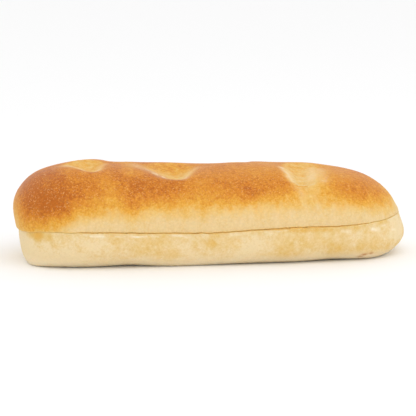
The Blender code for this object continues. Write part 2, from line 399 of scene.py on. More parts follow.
# Noise in the colours
GRAIN = (0.85 * MM, 2.0, 0.6)
FINE = (1.5 * MM, 3.0, 0.65)
MOTTLE = (3.2 * MM, 3.0, 0.6)
PALLOR = (5.5 * MM, 3.0, 0.6)
BASE_CLOUD = (11.0 * MM, 2.0, 0.6)
BASE_SPOTTY = (4.5 * MM, 3.0, 0.6)
SPECK_CLUSTER = (2.2 * MM, 2.0)
CRUMB_FINE = (0.8 * MM, 2.0)
CRUMB_GRAIN = (0.2 * MM, 2.0)
TABLE_GRAIN = (60.0 * MM, 2.0)

# Crown's colour: places of its five colours from pale to dark, weights of grain, fine noise and
# mottles in how brown it is, the share of them that pale crust has, and the baked part
BROWN_STOPS = (0.0, 0.24, 0.50, 0.78, 1.0)
LEVEL_WEIGHTS = (0.22, 0.24, 0.15)
LEVEL_PALE = 0.75
BAKED = (0.15, 0.6)

# Milky patches in the pale crust: weights of pallor, fine noise and grain, their mean, how strong
# they are, how brown the crust is where they end, and how narrow they are for their height
MILKY_WEIGHTS = (1.0, 0.6, 0.6)
MILKY_MEAN = 0.10
MILKY = 0.7
MILKY_BROWN = (0.5, 0.1)
PALLOR_STRETCH = (1.0, 1.0, 0.6)

# Light specks: size, how far they are shifted about, their edge, how clustered they are, how
# strong they are at least, how much more in baked and in brown crust, and what counts as brown
SPECK_SIZE = 1.0 * MM
SPECK_STIR = 0.45 * MM
SPECK_EDGE = (0.50, 0.14)
SPECK_CLUSTERED = (-0.4, 0.4)
SPECK_LEAST = 0.06
SPECK_WEIGHTS = (0.26, 0.22)
SPECK_BROWN = (0.6, 1.0)

# Pale lines on the dimples' rims, dry dough and partly a painted highlight: the mean, and
# weights of mottles and fine noise
LINE_MEAN = 0.75
LINE_WEIGHTS = (0.9, 0.9)

# Golden edge of the crown's lip, painted shade along the slit: from and to this height over the
# cut, and how strong it is
LIP_SHADE_EDGE = (0.7 * MM, 0.1 * MM)
LIP_SHADE_GOLD = 0.25

# Brightness: tiny pebbles in the crown, weights of pebbles, grain and fine noise, and how strong
# they are in all crust and more in dark crust
PEBBLE_SIZE = 1.25 * MM
PEBBLE_STIR = 0.3 * MM
PEBBLE_MIDDLE = 0.45
CROWN_SHADES = (0.9, -0.8, -0.6)
CROWN_SHADE = 0.11
DARK_SHADE = 0.10
DARK_BROWN = (0.7, 1.0)
BASE_SHADES = (0.8, 0.6)
BASE_SHADE = 0.09

# Base's colour: weights of clouds, spots, fine noise and grain, and their mean; then where its
# yellow turns golden, and weights of spots and fine noise there. The golden includes the painted
# shade under the crown's parted lip.
YELLOW_WEIGHTS = (0.80, 0.80, 0.42, 0.28)
YELLOW_MEAN = 0.36
GOLDEN_FROM = 0.45
GOLDEN_WEIGHTS = (0.5, 0.3)
GOLDEN = 0.8

# Mean, and weights of spots and fine noise, in the floury rim with its painted light, the torn lip
# with its painted highlight and the scorched spots, which have fine noise only. Then the same with
# clouds in the underside, whose rim is golden.
FLOUR_AND_LIGHT_MEAN = 0.65
FLOUR_AND_LIGHT_WEIGHTS = (0.6, 0.4)
TORN_HIGHLIT_MEAN = 0.8
TORN_HIGHLIT_WEIGHTS = (0.8, 0.8)
SCORCH_MEAN = 0.8
SCORCH_WEIGHT = 0.8
SOLE_MEAN = 0.80
SOLE_WEIGHTS = (0.40, 0.45, 0.35)
SOLE_GOLD = 2.0
SOLE_GOLD_MOST = 0.85
SOLE_BROWN = 1.1
SOLE_BROWN_FROM = 0.25

# Fine bumps: heights of grain, fine noise, specks and mottles on the crown, of grain, fine noise
# and spots on the base, of grain on the crumbs, and the pores in the crumb of the cut faces
CROWN_BUMPS = (0.06 * MM, 0.09 * MM, 0.10 * MM, 0.06 * MM)
BASE_BUMPS = (0.05 * MM, 0.08 * MM, 0.12 * MM)
CRUMB_BUMP = 0.03 * MM
PORE_SIZE = 1.6 * MM
PORE_STIR = 0.5 * MM
PORE_DEPTH = 0.5 * MM
PORE_EDGE = 0.5
PORE_CRUST = 0.3

# How yellow the crumbs are: the mean and the weight of fine noise
CRUMB_YELLOW_MEAN = 0.3
CRUMB_YELLOW = 0.8

# How matt the crown is and how much less where it is brown, how matt the base, the crumbs and the
# table are, and how unevenly. Then bread's shine, how far light goes under its surface, and how
# much of the light does so in the crown, and in the base and the crumbs.
CROWN_MATT = 0.60
CROWN_SHEEN = 0.12
BASE_MATT = 0.72
CRUMB_MATT = 0.75
TABLE_MATT = 0.85
MATT_UNEVEN = 0.05
CROWN_MATT_UNEVEN = 0.06
SHINE = 0.2
SOFT_RADIUS = (3.0 * MM, 1.5 * MM, 0.7 * MM)
CROWN_SOFT = 0.08
PALE_SOFT = 0.10

# Table, lamp, and the picture: its width in pixels, and how far the roll lies under and to the
# right of its middle, also in pixels
TABLE_REACH = 3.0
LAMP_SIZE = (1.4, 0.9)
LAMP_AT = (0.30, -0.80, 1.05)
PICTURE_WIDTH = 416
PICTURE_DOWN = 4.2
PICTURE_RIGHT = 0.25

# Square centimetres in a square metre
SQUARE_METRE = 10000.0


def paint(red, green, blue):
    """Linear colour from red, green and blue as a paint chart gives them, 0 to 255."""
    parts = [value / 255.0 for value in (red, green, blue)]
    return (*(v / 12.92 if v <= 0.04045 else ((v + 0.055) / 1.055) ** 2.4 for v in parts), 1.0)


def length_prop(name, description, default):
    """A length that a user can change, from a default in millimetres."""
    return bpy.props.FloatProperty(
        name=name, description=description, default=default * MM, unit="LENGTH")


def colour_prop(name, description, red, green, blue):
    """A colour that a user can change."""
    return bpy.props.FloatVectorProperty(
        name=name, description=description, size=4, subtype="COLOR",
        default=paint(red, green, blue), min=0.0, max=1.0)


class RollSizes(bpy.types.PropertyGroup):
    """Sizes of the roll that a baker would change."""

    length: length_prop("Length", "Length of the roll at the cut", 197.8)
    width: length_prop("Width", "Width of the roll at the cut", 76.0)
    crown_top: length_prop("Top", "Height of the crown's top line", 47.5)
    cut_height: length_prop("Cut height", "Height of the cut over the table", 19.6)
    gap: length_prop("Gap", "Gap between the two cut faces", 0.35)
    dimples: bpy.props.FloatProperty(
        name="Dimples", description="Depth of the finger dimples, as a share of the usual depth",
        default=1.0, min=0.0, max=1.5, subtype="FACTOR")
    relief: length_prop("Crust relief", "Height of the crust's fine unevenness", 0.22)
    blister: length_prop("Blisters", "Height of the small blisters in the brown crust", 0.14)
    crumbs: bpy.props.FloatProperty(
        name="Crumbs", description="Loose crumbs for each square centimetre of the torn lip",
        default=70.0, min=0.0, max=200.0)
    crumb_size: length_prop("Crumb size", "Radius of the largest loose crumb", 0.30)
    crumb_order: bpy.props.IntProperty(
        name="Crumb order", description="Seed of the loose crumbs' places", default=7, min=0)


class RollColours(bpy.types.PropertyGroup):
    """Colours of the crust and the crumb."""

    pale: colour_prop("Pale crust", "Side of the crown just over the cut", 226, 197, 143)
    yellow: colour_prop("Yellow crust", "Where the browning starts", 227, 185, 105)
    golden: colour_prop("Golden crust", "Half baked band", 223, 162, 58)
    brown: colour_prop("Brown crust", "Top of the crown", 208, 130, 35)
    dark: colour_prop("Dark crust", "Where the crust is baked most", 184, 100, 22)
    # Crumb colour, made golden to paint the warm shade inside the slit
    slit: colour_prop(
        "Cut faces", "Crumb of the cut faces, in the slit between the halves", 246, 202, 118)
    # Pale dough of the milky patches and of the rim lines, which are partly a painted highlight
    pale_dough_and_highlight: colour_prop(
        "Stretched dough", "Dry pale lines on the dimples' walls", 238, 210, 164)
    speck: colour_prop("Specks", "Tiny light blisters in the brown crust", 240, 184, 118)
    crumb: colour_prop("Crumb", "Loose crumbs along the cut", 240, 220, 180)
    cream: colour_prop("Cream crust", "Sides of the base", 232, 209, 164)
    mottle: colour_prop("Yellow mottles", "Yellower spots in the sides of the base", 222, 184, 107)
    # Palest crust: flour, with painted light over the foot and a painted highlight on the torn lip
    flour_and_painted_light: colour_prop(
        "Floury rim", "Palest crust, over the foot and where the lip is torn", 243, 228, 198)
    sole: colour_prop("Underside", "Underside browned by the baking tray", 182, 116, 50)


class StudioSettings(bpy.types.PropertyGroup):
    """Camera and light."""

    azimuth: bpy.props.FloatProperty(
        name="Turn", description="Camera's turn round the roll, 0 in front",
        default=math.radians(-7.386), subtype="ANGLE")
    elevation: bpy.props.FloatProperty(
        name="Height", description="Camera's angle over the table",
        default=math.radians(9.855), subtype="ANGLE")
    distance: length_prop("Distance", "Camera's distance from the roll", 1000.0)
    frame_width: length_prop("Field", "Width of the view at the roll", 217.15)
    aim_z: length_prop("Aim height", "Height of the point that the camera looks at", 22.0)
    floor: bpy.props.FloatVectorProperty(
        name="Floor", description="Colour of the table", size=4, subtype="COLOR",
        default=(0.95, 0.95, 0.95, 1.0), min=0.0, max=1.0)
    room: bpy.props.FloatProperty(
        name="Room light", description="Strength of the even white light of the room",
        default=1.0)
    lamp: bpy.props.FloatProperty(
        name="Lamp", description="Power of the large soft lamp over the front",
        default=3.5, unit="POWER")


class Wire:
    """An output socket. Arithmetic on it adds Math nodes, or Vector Math nodes for a vector."""

    def __init__(self, board, socket):
        self.board = board
        self.socket = socket

    def of(self, name):
        """Another output of the same node."""
        return Wire(self.board, open_socket(self.socket.node.outputs, name))

    def reckon(self, operation, first, second=None):
        """One step of arithmetic on one or two wires or numbers."""
        values = {0: first} if second is None else {0: first, 1: second}
        if not any(isinstance(v, Wire) and v.socket.type == "VECTOR" for v in values.values()):
            return self.board.node("ShaderNodeMath", {"operation": operation}, values)
        values = {k: v if isinstance(v, Wire) else triple(v) for k, v in values.items()}
        return self.board.node("ShaderNodeVectorMath", {"operation": operation}, values)

    def __add__(self, other):
        return self.reckon("ADD", self, other)

    def __radd__(self, other):
        return self.reckon("ADD", other, self)

    def __sub__(self, other):
        return self.reckon("SUBTRACT", self, other)

    def __rsub__(self, other):
        return self.reckon("SUBTRACT", other, self)

    def __mul__(self, other):
        return self.reckon("MULTIPLY", self, other)

    def __rmul__(self, other):
        return self.reckon("MULTIPLY", other, self)

    def __truediv__(self, other):
        return self.reckon("DIVIDE", self, other)

    def __rtruediv__(self, other):
        return self.reckon("DIVIDE", other, self)

    def __pow__(self, other):
        return self.reckon("POWER", self, other)

    def __neg__(self):
        return self.reckon("MULTIPLY", self, -1.0)

    def __abs__(self):
        return self.reckon("ABSOLUTE", self)

    def __lt__(self, other):
        return self.reckon("LESS_THAN", self, other)

    def sine(self):
        return self.reckon("SINE", self)

    def exp(self):
        return self.reckon("EXPONENT", self)

    def dot(self, other):
        """Dot product of two vectors."""
        settings = {"operation": "DOT_PRODUCT"}
        return self.board.node("ShaderNodeVectorMath", settings, {0: self, 1: other})

    def size(self):
        """Length of a vector."""
        return self.board.node("ShaderNodeVectorMath", {"operation": "LENGTH"}, {0: self})

    def at_least(self, low):
        return self.reckon("MAXIMUM", self, low)

    def at_most(self, high):
        return self.reckon("MINIMUM", self, high)

    def step(self, low, high):
        """Smooth step from 0 at low to 1 at high, which may lie under low."""
        settings = {"interpolation_type": "SMOOTHSTEP"}
        values = {"Value": self, "From Min": low, "From Max": high}
        return self.board.node("ShaderNodeMapRange", settings, values)

    def scaled(self, factor):
        """A colour or a vector, this many times as bright or as long."""
        settings = {"operation": "SCALE"}
        return self.board.node("ShaderNodeVectorMath", settings, {0: self, "Scale": factor})

    def bell(self, centre, half):
        """Bell of height 1 round a centre."""
        away = (self - centre) / half
        return (-(away * away)).exp()


def triple(value):
    """A number as a vector."""
    return (value, value, value) if isinstance(value, (int, float)) else value


def open_socket(sockets, key):
    """The socket in use that has a name or a number."""
    if isinstance(key, int):
        return sockets[key]
    return next(s for s in sockets if s.name == key and s.enabled)


class Board:
    """Adds nodes to one tree and lays them out in columns."""

    COLUMN = 12
    SPACING = (200.0, -170.0)

    def __init__(self, tree):
        self.tree = tree

    def node(self, kind, settings=None, values=None):
        """Add a node: its settings first, then the values or links of its sockets."""
        made = self.tree.nodes.new(kind)
        column, row = divmod(len(self.tree.nodes), self.COLUMN)
        made.location = (column * self.SPACING[0], row * self.SPACING[1])
        for name, setting in (settings or {}).items():
            if name == "stops":
                set_stops(made.color_ramp, setting)
            else:
                setattr(made, name, setting)
        for key, value in (values or {}).items():
            socket = open_socket(made.inputs, key)
            if isinstance(value, Wire):
                self.tree.links.new(value.socket, socket)
            else:
                socket.default_value = value
        shown = [s for s in made.outputs if s.enabled]
        return Wire(self, shown[0]) if shown else None

    def vector(self, x, y, z):
        """A vector from three numbers."""
        return self.node("ShaderNodeCombineXYZ", None, {"X": x, "Y": y, "Z": z})

    def noise(self, place, size, detail=2.0, roughness=0.5):
        """Cloudy noise round 0, about -1 to 1, whose clouds are about the given size."""
        values = {"Vector": place, "Scale": 1.0 / size, "Detail": detail, "Roughness": roughness}
        return (self.node("ShaderNodeTexNoise", {"noise_dimensions": "3D"}, values) - 0.5) * 2.0

    def cells(self, place, size):
        """Distance from the middles of scattered cells, in cell sizes."""
        settings = {"voronoi_dimensions": "3D", "feature": "F1"}
        return self.node("ShaderNodeTexVoronoi", settings, {"Vector": place, "Scale": 1.0 / size})

    def coat(self, colour, *coats):
        """A colour with coats over it, each given as its share and its colour."""
        settings = {"data_type": "RGBA", "blend_type": "MIX", "clamp_factor": True}
        for part, over in coats:
            values = {"Factor": part, "A": colour, "B": tuple(over)}
            colour = self.node("ShaderNodeMix", settings, values)
        return colour

    def attribute(self, name):
        """A number kept with the points of the mesh."""
        if self.tree.bl_idname == "GeometryNodeTree":
            settings = {"data_type": "FLOAT"}
            return self.node("GeometryNodeInputNamedAttribute", settings, {"Name": name})
        return self.node("ShaderNodeAttribute", {"attribute_name": name}).of("Fac")


def set_stops(ramp, stops):
    """Give a colour ramp its stops: place and colour."""
    while len(ramp.elements) > 1:
        ramp.elements.remove(ramp.elements[-1])
    ramp.elements[0].position, ramp.elements[0].color = stops[0]
    for place, colour in stops[1:]:
        ramp.elements.new(place).color = colour


def share(t, ends):
    """Superellipse share of the full size, t from -1 at the left tip to 1 at the right tip."""
    left = t < 0.0
    along = left * ends["left"][0] + (1.0 - left) * ends["right"][0]
    across = left * ends["left"][1] + (1.0 - left) * ends["right"][1]
    body = 1.0 - abs(t) ** along
    body = body.at_least(0.0) if isinstance(body, Wire) else np.maximum(body, 0.0)
    return body ** (1.0 / across)


def even_steps(places, x, y, value):
    """Values at places from 0 to 1 of the length of the curve through x and y."""
    length = np.concatenate([[0.0], np.cumsum(np.hypot(np.diff(x), np.diff(y)))])
    return np.interp(places * length[-1], length, value)


def stations(sizes):
    """Places of the loops, spaced evenly along the outline as seen from above, tips included."""
    u = np.linspace(-1.0, 1.0, FINE_STEPS)
    t = np.sign(u) * (1.0 - (1.0 - np.abs(u)) ** TIP_CROWDING)
    half = sizes.width / 2 * share(t, PLAN)
    return even_steps(np.linspace(0.0, 1.0, LOOPS), t * sizes.length / 2, half, t)


def crowded(count, crowding):
    """Places from 0 to 1, closer together at both ends."""
    u = np.linspace(0.0, 1.0, count)
    return u - crowding * np.sin(2.0 * np.pi * u) / (2.0 * np.pi)


def section_curve(angle, section):
    """Shares across and up of the crust's cross section at an angle from its -Y lip."""
    cosine = np.cos(angle)
    across = -np.sign(cosine) * np.abs(cosine) ** (2.0 / section[0])
    return across, np.abs(np.sin(angle)) ** (2.0 / section[1])


def loop_points(section, sizes, height):
    """Shares across and up of one loop: the crust from lip to lip, then the cut face back."""
    angle = np.linspace(0.0, np.pi, FINE_STEPS)
    across, up = section_curve(angle, section)
    places = crowded(CRUST_ROWS, LIP_CROWDING)
    spaced = even_steps(places, across * sizes.width / 2, up * height, angle)
    across, up = section_curve(spaced, section)
    face = 1.0 - 2.0 * crowded(FACE_ROWS + 2, FACE_CROWDING)[1:-1]
    return np.concatenate([across, face]), np.concatenate([up, face * 0.0])


def net(name, section, sizes, height, outward):
    """A closed tube of quads whose points know their places along, across and up the half."""
    along = stations(sizes)
    across, up = loop_points(section, sizes, height)
    count = len(across)
    rings = LOOPS - 2
    first = np.arange(rings * count).reshape(rings, count)
    after = np.roll(first, -1, axis=1)
    quads = np.stack([first[:-1], after[:-1], after[1:], first[1:]], axis=-1).reshape(-1, 4)
    tips = [rings * count, rings * count + 1]
    left = np.stack([np.full(count, tips[0]), after[0], first[0]], axis=-1)
    right = np.stack([np.full(count, tips[1]), first[-1], after[-1]], axis=-1)
    faces = [f[::outward] for group in (quads, left, right) for f in group.tolist()]
    t = np.concatenate([np.repeat(along[1:-1], count), along[[0, -1]]])
    values = {
        "along": t,
        "across": np.concatenate([np.tile(across, rings), [0.0, 0.0]]),
        "up": np.concatenate([np.tile(up, rings), [0.0, 0.0]]),
    }
    points = np.stack([t * sizes.length / 2, values["across"] * sizes.width / 2,
                       values["up"] * height], axis=-1)
    mesh = bpy.data.meshes.new(name)
    mesh.from_pydata(points.tolist(), [], faces)
    for key, value in values.items():
        kept = mesh.attributes.new(key, "FLOAT", "POINT")
        kept.data.foreach_set("value", value.astype(np.float32))
    return mesh


def cut_height(x, height, length):
    """Height of the middle of the gap between the halves."""
    left = x < CUT_DIP_AT
    side = left * CUT_DIP_LEFT + (1.0 - left) * CUT_DIP_RIGHT
    tip = length / 2 - CUT_TIP_RUN
    dip = x.bell(CUT_DIP_AT, side) * CUT_DIP
    rise = x.step(CUT_RISE_FROM, CUT_RISE_FROM + CUT_RISE_RUN) * CUT_RISE
    right_tip = x.step(tip, tip + CUT_TIP_RUN) * CUT_TIP_RIGHT
    left_tip = x.step(-tip, -tip - CUT_TIP_RUN) * CUT_TIP_LEFT
    return height - dip + rise + right_tip + left_tip


def shut_parts(x):
    """1 at both ends, where the lips lie flush on each other, and where they stick together."""
    start, end = GAP_SHUT_RUN
    ends = x.step(-start, -end) + x.step(start, end)
    return (ends + x.bell(STUCK_AT, STUCK_HALF) * STUCK).at_most(1.0)


def half_gap(x, y, gap, width, inside):
    """Half of the gap between the cut faces: wider where the front lips part, and almost shut
    inside, at both ends and where the lips stick together, with crumb on crumb."""
    board = x.board
    front = (-y).step(width / 2 - PARTING_DEPTH, width / 2)
    parted = x.bell(PARTING_AT, PARTING_HALF) * front * (PARTING / 2)
    shut = shut_parts(x) * GAP_SHUT
    pressed = board.noise(board.vector(x, y * KNIFE_STRETCH, 0.0), *GAP_NOISE) * GAP_PRESSED
    open_share = ((1.0 - shut) * (1.0 + pressed) - inside * GAP_CLOSED).at_least(GAP_LEAST)
    return gap / 2 * open_share + parted * (1.0 - inside * PARTING_CLOSED)


def lip_wobble(board, x, y):
    """Small ups and downs of the line that the knife left."""
    line = board.vector(x, y * KNIFE_STRETCH, 0.0)
    nicks = board.noise(line, *NICK_NOISE) * NICK
    return board.noise(line, *KNIFE_NOISE) * KNIFE_WOBBLE + nicks


def weighed(weights, *wires):
    """Sum of some wires, each times its weight."""
    return sum(wire * weight for weight, wire in zip(weights, wires))


def lumps(x, y, z):
    """Slow unevenness of the dough."""
    total = 0.0
    for size, waves, phase in LUMPS:
        total = (x * waves[0] + y * waves[1] + z * waves[2] + phase).sine() * size + total
    return total


def near_line(place, start, end, half):
    """Bell of height 1 round the straight line between two points of a flat view of the roll."""
    board = place.board
    start = Vector((*start, 0.0)) * MM
    run = Vector((*end, 0.0)) * MM - start
    along = (place - tuple(start)).dot(tuple(run / run.length_squared))
    foot = board.vector(*run).scaled(along.at_least(0.0).at_most(1.0))
    return (place - tuple(start) - foot).size().bell(0.0, half * MM)


def strongest(place, marks, ragged):
    """The strongest of some short marks at each point, with ragged edges."""
    drawn = 0.0
    for start, end, half, strength in marks:
        drawn = (near_line(place, start, end, half) * ragged * strength).at_least(drawn)
    return drawn


def spots(x, z, places):
    """Soft spots, each from its place, its height, its half sizes and its strength."""
    for at, over, half_x, half_z, strength in places:
        yield x.bell(at * MM, half_x * MM) * z.bell(over * MM, half_z * MM) * strength


def dimple_parts(x, y, dimple):
    """Places along one dimple and across its -X wall, its hollow and its pale colour, 0 to 1."""
    run = [(inner - outer) * MM for inner, outer in zip(dimple.inner, dimple.outer)]
    length = math.hypot(*run)
    from_x = x - dimple.outer[0] * MM
    from_y = y - dimple.outer[1] * MM
    turn = math.copysign(1.0, run[1])
    along = (from_x * run[0] + from_y * run[1]) / length**2
    across = (from_x * run[1] - from_y * run[0]) * (turn / length)
    widen = along.step(0.0, 1.0)
    left, right = (widen * ((far - near) * MM) + near * MM for near, far in
                   (dimple.left, dimple.right))
    on_left = across < 0.0
    half = on_left * left + (1.0 - on_left) * right
    walls = across.bell(0.0, half)
    outer_run, inner_run = dimple.runs
    ends = along.step(0.0, outer_run) * along.step(1.0, 1.0 - inner_run)
    start, slant = dimple.pale
    slanted = along + across * (slant / length) - start
    rounded = along + (across / half) ** 2.0 * DIMPLE_ROUND
    coloured = slanted.step(0.0, outer_run) * rounded.step(*DIMPLE_REACH)
    return along, across / left, walls * ends, walls * coloured


def grow(board, given):
    """What both halves start from: the places along, across and up the half, x and y, where the
    crust is, and how far from the rim of the cut face a point lies, up to 1."""
    t, across, up = (board.attribute(name) for name in ("along", "across", "up"))
    half = share(t, PLAN) * (given["Width"] / 2)
    on_crust = up.step(0.0, CRUST_FROM)
    inside = (half * (1.0 - abs(across))).step(*RIM) * (1.0 - on_crust)
    return t, across, up, t * (given["Length"] / 2), half * across, on_crust, inside


def cut_edge(board, given, x, y, inside, side):
    """Height of the cut, and of one half's face on it: side is 1 over the gap and -1 under it."""
    cut = cut_height(x, given["Cut height"], given["Length"])
    opened = half_gap(x, y, given["Gap"], given["Width"], inside)
    return cut, cut + opened * side + lip_wobble(board, x, y)


def keep(board, mesh, **numbers):
    """Keep numbers with the points, under their names."""
    settings = {"data_type": "FLOAT", "domain": "POINT"}
    for name, value in numbers.items():
        values = {"Geometry": mesh, "Name": name, "Value": value}
        mesh = board.node("GeometryNodeStoreNamedAttribute", settings, values)
    return mesh


def move(board, mesh, **values):
    """Move the points: to a Position or by an Offset."""
    return board.node("GeometryNodeSetPosition", None, {"Geometry": mesh, **values})


def raise_crust(board, mesh, raised):
    """Move the points along their normals, then the whole half to the roll's middle."""
    mesh = move(board, mesh, Offset=board.node("GeometryNodeInputNormal") * raised)
    return move(board, mesh, Offset=(-CENTRE_X, 0.0, 0.0))


def inward(relief, height):
    """Unevenness from -1 to 1 as a move of up to a height, and only inward."""
    return (relief - 1.0) * height * 0.5


def press_dimples(board, x, y, z):
    """Dimples' depth, pale colour and browning, and their lines of dry dough and painted highlight.
    """
    wander = board.noise(board.vector(x, y, z), *DIMPLE_NOISE) * DIMPLE_WANDER
    sunk = hollow = floor = lines = 0.0
    for dimple in DIMPLES:
        along, wall, depth, colour = dimple_parts(x, y, dimple)
        sunk = depth * (dimple.depth * MM) + sunk
        colour = (colour + wander).step(*DIMPLE_EDGE)
        hollow = colour + hollow
        outer, inner = dimple.brown
        floor = colour * (along.step(*FLOOR_RUN) * (inner - outer) + outer) + floor
        line = wall.bell(WALL_AT, WALL_HALF) * along.step(*WALL_START) * along.step(*WALL_END)
        lines = (line * dimple.line).at_least(lines)
    return sunk, hollow.at_most(1.0), floor, lines


def crown_tree(board, given):
    """Shape the crown, then its relief, and keep how brown it is."""
    t, across, up, x, y, on_crust, inside = grow(board, given)
    lip = cut_height(x, given["Cut height"], given["Length"])
    top = given["Top"] + x * CROWN_SLOPE + x.bell(HUMP_AT, HUMP_HALF) * HUMP_RISE
    z = lip + (top - lip) * share(t, CROWN_RISE) * up
    x = x - (-t).at_least(0.0) ** LEFT_POWER * z.bell(BULGE_Z, BULGE_HALF) * BULGE
    x = x + t.at_least(0.0) ** SWELL_POWER * (z - lip).bell(0.0, FLARE_HALF) * FLARE
    rolled = (z - lip).bell(0.0, LIP_HEIGHT) * (1.0 - shut_parts(x) * GAP_SHUT)
    y = y * (1.0 - rolled * (LIP_ROLL / (given["Width"] / 2)))
    drawn = x.bell(VALLEY_AT, VALLEY_HALF) * z.bell(VALLEY_Z, VALLEY_Z_HALF) * VALLEY
    y = y + drawn * (y < 0.0)
    uneven = lumps(x, y, z)
    y = y + uneven * across
    z = z + uneven * up
    near_lip = 1.0 - (z - lip).step(0.0, LIP_BLEND)
    sunk, hollow, floor, lines = press_dimples(board, x, y, z)
    z = z - sunk * given["Dimples"] * (1.0 - near_lip)
    cut, edge = cut_edge(board, given, x, y, inside, 1.0)
    z = z + (edge - lip) * near_lip
    place = board.vector(x, y, z)
    shaped = move(board, given["Geometry"], Position=place)
    height = z - cut
    streaks = board.noise(board.vector(x, y, z * STREAK_STRETCH), *STREAKS)
    drips = board.noise(board.vector(x, y, z * DRIP_STRETCH), *DRIPS)
    clouds = board.noise(place, *CLOUDS)
    small = board.noise(place, *SMALL)
    spotty = board.noise(place, *SPOTTY)
    half_brown = HALF_BROWN
    for start, end, drop in BROWN_DROPS:
        half_brown = half_brown - x.step(start, end) * drop
    over = height - half_brown + weighed(BROWN_UNEVEN, streaks, drips, small)
    brown = over.step(-BROWN_BELOW, BROWN_ABOVE) * BROWN_TOP
    brown = brown + clouds * CLOUDY * over.step(*CLOUDY_RUN)
    broad = board.noise(place, *BROAD) * y.step(*TOP_RUN)
    brown = brown + broad * over.step(0.0, BROWN_ABOVE) * TOP_UNEVEN
    behind = y.step(*BACK_RUN)
    for side, patches in ((1.0 - behind, FRONT_PATCHES), (behind, BACK_PATCHES)):
        for patch in spots(x, height, patches):
            brown = brown + patch * side
    brown = brown.at_least(0.0) * (1.0 - hollow) + floor
    brown = brown + hollow * weighed(HOLLOW_UNEVEN, small, spotty)
    from_above = board.vector(x, y, 0.0)
    ragged = (weighed(RAGGED, small, spotty) + RAGGED_MEAN).at_least(0.0)
    # Pale marks on the dimples' rims: dry dough, partly a painted highlight
    lines = strongest(from_above, STRETCH_AND_HIGHLIGHT_MARKS, ragged).at_least(lines)
    crease = near_line(from_above, *CREASE)
    # Painted shade in the crease: the crust is drawn browner there
    brown = brown + crease * CREASE_SHADE
    stirred = place + board.vector(small, clouds, streaks) * BLISTER_STIR
    blister = board.cells(stirred, BLISTER_SIZE).step(*BLISTER_EDGE)
    blister = blister * board.noise(place, *BLISTER_CLUSTER).step(*BLISTER_CLUSTERED)
    pimples = board.noise(place, *PIMPLES)
    raised = inward(weighed(CROWN_RELIEF, clouds, small, pimples), given["Relief"])
    raised = raised + (blister - 1.0) * given["Blisters"] * brown.step(*BLISTER_BROWN)
    raised = raised - crease * CREASE_DEPTH
    shaped = keep(board, shaped, brown=brown, line=lines * on_crust * (1.0 - crease),
                  crust=on_crust, height=height)
    return raise_crust(board, shaped, raised * (1.0 - near_lip))


def base_tree(board, given):
    """Shape the base and relief, and keep its yellow, torn, brown and floury marks, some partly
    painted light.
    """
    t, across, down, x, y, on_crust, inside = grow(board, given)
    lip = cut_height(x, given["Cut height"], given["Length"])
    sink = SINK
    for at, half, change in SINK_WAVES:
        sink = x.bell(at, half) * change + sink
    round_z = lip - (lip + sink) * share(t, BASE_DROP) * down
    z = board.node("ShaderNodeMath", {"operation": "SMOOTH_MAX"},
                   {0: round_z, 1: 0.0, 2: FOOT_ROUNDING})
    x = x + t.at_least(0.0) ** SWELL_POWER * z.bell(SWELL_Z, SWELL_HALF) * SWELL
    x = x + (-t).at_least(0.0) ** LEFT_POWER * (1.0 - z / LEAN_HEIGHT).at_least(0.0) * LEAN
    y = y + lumps(x, y, z) * across
    near_lip = 1.0 - (lip - z).step(0.0, LIP_BLEND)
    cut, edge = cut_edge(board, given, x, y, inside, -1.0)
    z = z + (edge - lip) * near_lip
    place = board.vector(x, y, z)
    shaped = move(board, given["Geometry"], Position=place)
    small = board.noise(place, *SMALL)
    nibbled = board.noise(place, *NIBBLED)
    front = y.step(*FRONT_RUN)
    ragged = weighed(TORN_HIGHLIT_RAGGED, small, nibbled) + TORN_HIGHLIT_RAGGED_MEAN
    # Whitish torn lip, partly a painted highlight where the lip's edge catches the light
    torn = strongest(board.vector(x, z, 0.0), TORN_HIGHLIT_MARKS, ragged)
    waves = board.noise(place, *WAVES)
    pimples = board.noise(place, *PIMPLES)
    raised = inward(weighed(BASE_RELIEF, waves, small, pimples), given["Relief"])
    browned = round_z + (small + nibbled) * SOLE_RAGGED
    # The floury foot is partly painted light against the shade near the table
    shaped = keep(board, shaped,
                  sole=browned.step(0.0, -SOLE_FADE) * z.step(*SOLE_RUN),
                  # The yellow spots include painted shade under the crown's parted lip
                  yellow=sum(spots(x, z, BASE_SPOTS_AND_LIP_SHADE)) * front,
                  scorched=sum(spots(x, z, SCORCHED)) * front,
                  torn=torn * front * on_crust, crust=on_crust,
                  depth=cut - z, foot=z.step(*FLOUR_AND_LIGHT_RUN))
    return raise_crust(board, shaped, raised * (1.0 - near_lip) * z.step(0.0, RELIEF_RUN))


